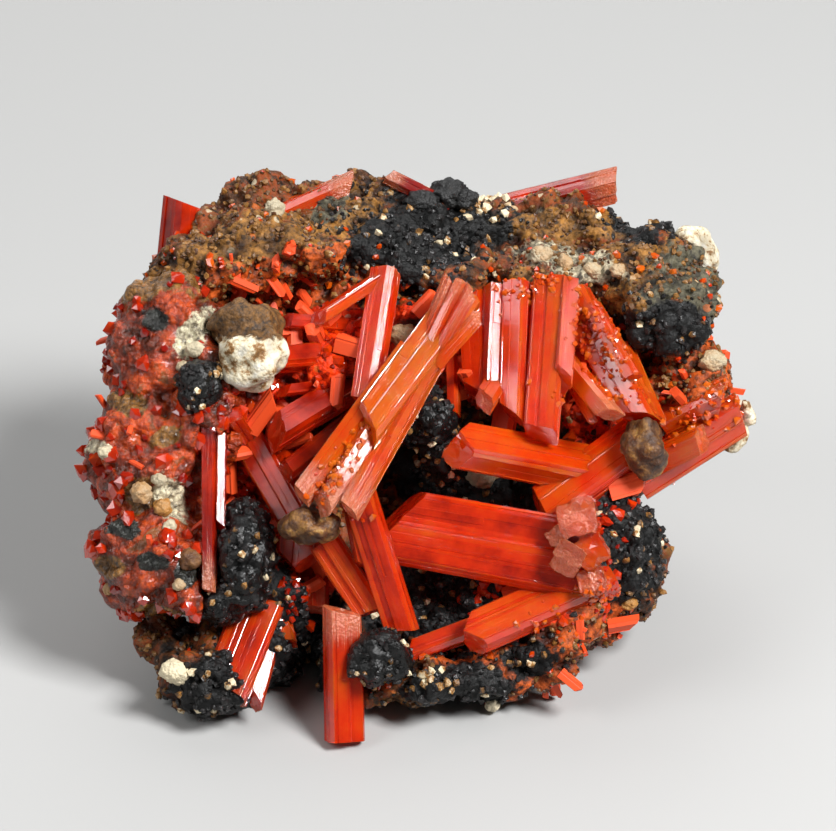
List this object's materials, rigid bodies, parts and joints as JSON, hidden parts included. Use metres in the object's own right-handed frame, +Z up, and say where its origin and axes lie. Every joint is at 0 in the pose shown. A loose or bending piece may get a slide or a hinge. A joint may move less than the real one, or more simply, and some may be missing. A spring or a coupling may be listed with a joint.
{
  "type": "crocoite specimen",
  "caption": "Chunk of brown gossan with an open vug full of long orange-red crocoite crystals, cut flat where it rests.",
  "frame": {"origin": "middle of the specimen's footprint, on the surface it rests on", "axes": "+X to the viewer's right along the longest side, +Y away from the open vug to the back, +Z up"},
  "size_m": [0.05, 0.0392, 0.03],
  "materials": {
    "crocoite": "glossy, translucent",
    "crust": "sparkling crust of small crystals",
    "gossan": "rough, earthy",
    "manganese": "sooty with a sheen",
    "clay": "rough, chalky",
    "ochre": "rough, earthy"
  },
  "bodies": {
    "root": {"clay_cap_rear": "clay", "clay_knob": "clay", "clay_tip_right": "clay", "front_crystal": "crocoite", "gossan_matrix": "gossan", "left_crust": "crust", "left_twin_crystal": "crocoite", "lower_left_crystal": "crocoite", "manganese_centre": "manganese", "manganese_front": "manganese", "manganese_left": "manganese", "manganese_upper_left": "manganese", "ochre_knob_front": "ochre", "ochre_knob_right": "ochre", "rear_grey_crystal": "crocoite", "rear_left_crystal": "crocoite", "rear_pink_crystal": "crocoite", "rear_right_crystal": "crocoite", "right_edge_crystals": "crocoite", "vug_crystals": "crocoite"}
  },
  "joints": []
}
